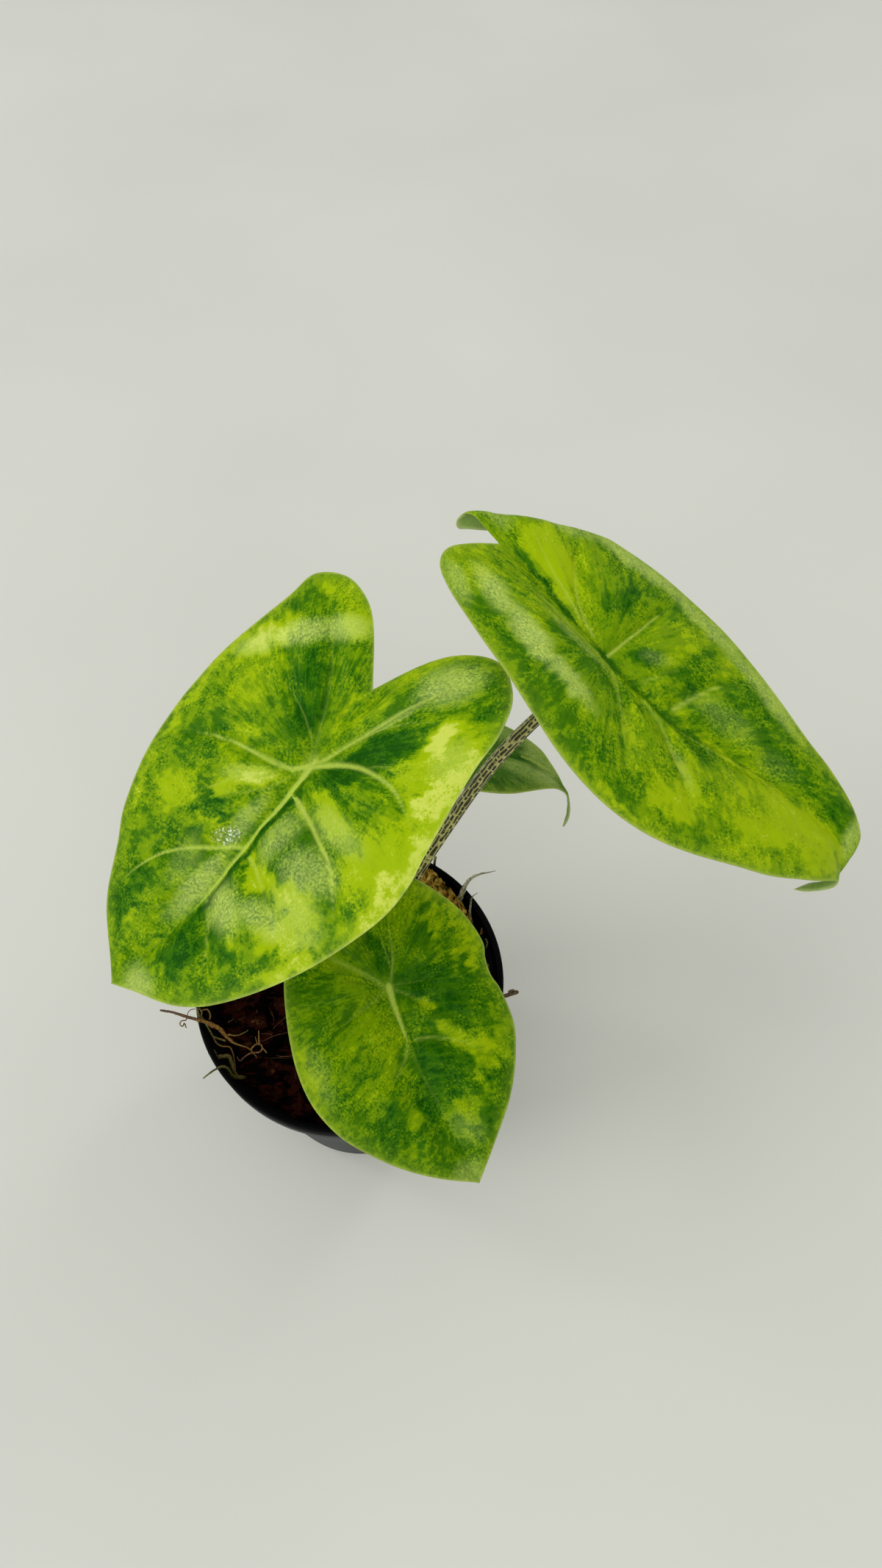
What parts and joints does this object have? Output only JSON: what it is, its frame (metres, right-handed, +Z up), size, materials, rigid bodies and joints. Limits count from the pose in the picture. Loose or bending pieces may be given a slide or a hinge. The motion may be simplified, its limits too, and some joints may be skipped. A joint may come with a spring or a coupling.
{
  "type": "potted alocasia",
  "caption": "Young alocasia longiloba with marbled arrow-shaped leaves on thin stalks, in a round black nursery pot of bark mix.",
  "frame": {"origin": "centre of the pot's underside, on the surface it stands on", "axes": "+Z up; +X to the right and +Y away as seen from the plant's front, where the small front leaf hangs over the rim"},
  "size_m": [0.1553, 0.1214, 0.1881],
  "materials": {
    "pot": "thin black plastic, lightly rubbed grey outside",
    "mix": "damp bark chips and coir",
    "moss": "dry tan sphagnum",
    "crown": "papery old leaf sheaths",
    "root_tan": "dry tan root",
    "root_pale": "young pale root",
    "root_dark": "old brown root",
    "stalk": "grey-green skin with dark dashes along it",
    "blade": "satin leaf, marbled in dark green, lime and pale yellow-green",
    "blade_dull": "satin leaf in dull grey-green"
  },
  "bodies": {
    "root": {"pot": "pot", "potting_mix": "mix", "moss_clump": "moss", "crown": "crown", "roots_left": "root_tan", "roots_left_low": "root_tan", "roots_right": "root_pale", "root_stub_right": "root_dark", "stalk_left": "stalk", "stalk_right": "stalk", "stalk_front": "stalk", "stalk_back": "stalk", "blade_left": "blade", "blade_right": "blade", "blade_front": "blade", "blade_back": "blade_dull"}
  },
  "joints": []
}
